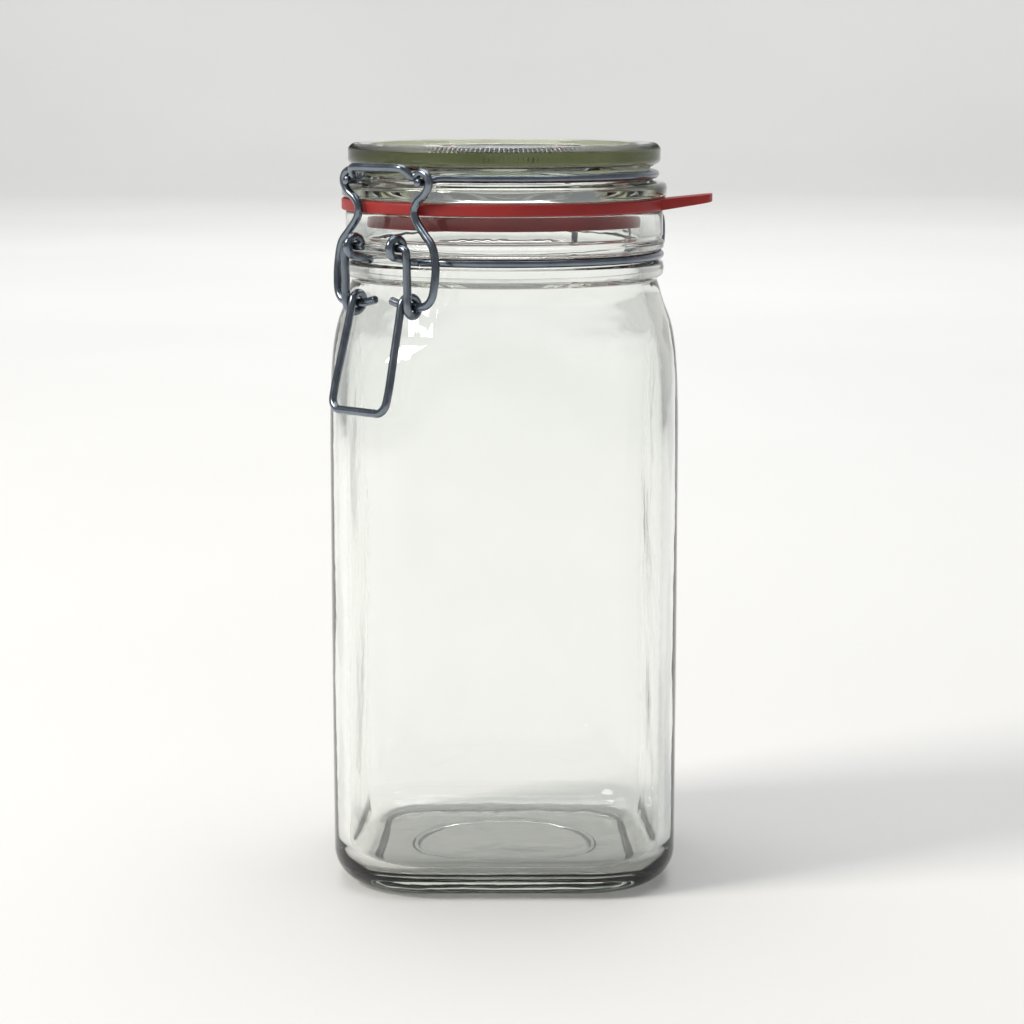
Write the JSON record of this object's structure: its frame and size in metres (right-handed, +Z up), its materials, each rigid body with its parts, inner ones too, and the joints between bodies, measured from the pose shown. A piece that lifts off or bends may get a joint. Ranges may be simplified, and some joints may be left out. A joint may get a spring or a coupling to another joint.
{
  "type": "clip top glass canister",
  "caption": "Square glass storage canister with a round neck, hinged glass lid, rubber gasket with pull tab and a wire lever latch.",
  "frame": {"origin": "centre of the base, on the surface that the canister stands on", "axes": "+Z up along the neck's axis, X and Y square to the body's flat sides; the latch is over the corner at -X -Y and the lid's hinge over the corner at +X +Y"},
  "size_m": [0.1232, 0.1129, 0.2382],
  "materials": {
    "jar_glass": "clear soda glass, glossy, faint green in thick edges",
    "lid_glass": "clear pressed soda glass, glossy",
    "gasket_rubber": "matt red natural rubber",
    "wire_steel": "drawn galvanised steel wire, satin, slightly worn"
  },
  "bodies": {
    "jar_body": {"jar": "jar_glass", "neck_wire": "wire_steel"},
    "lever": {"lever": "wire_steel"},
    "bail": {"bail": "wire_steel"},
    "lid": {"lid": "lid_glass", "gasket": "gasket_rubber", "lid_wire": "wire_steel"}
  },
  "joints": [
    {"name": "lever_pivot", "type": "hinge", "parent": "jar_body", "child": "lever", "pos_m": [-0.04006, -0.04222, 0.207], "axis": [-0.7254, 0.6884, 0], "range_deg": [0, 100]},
    {"name": "bail_pivot", "type": "hinge", "parent": "lever", "child": "bail", "pos_m": [-0.03772, -0.03975, 0.189], "axis": [-0.7254, 0.6884, 0], "range_deg": [-150, 0]},
    {"name": "lid_hinge", "type": "hinge", "parent": "jar_body", "child": "lid", "pos_m": [0.03993, 0.04207, 0.214], "axis": [-0.7254, 0.6884, 0], "range_deg": [0, 110]}
  ],
  "couplings": [
    {"joint": "bail_pivot", "follows": "lever_pivot", "ratio": -1.5}
  ]
}
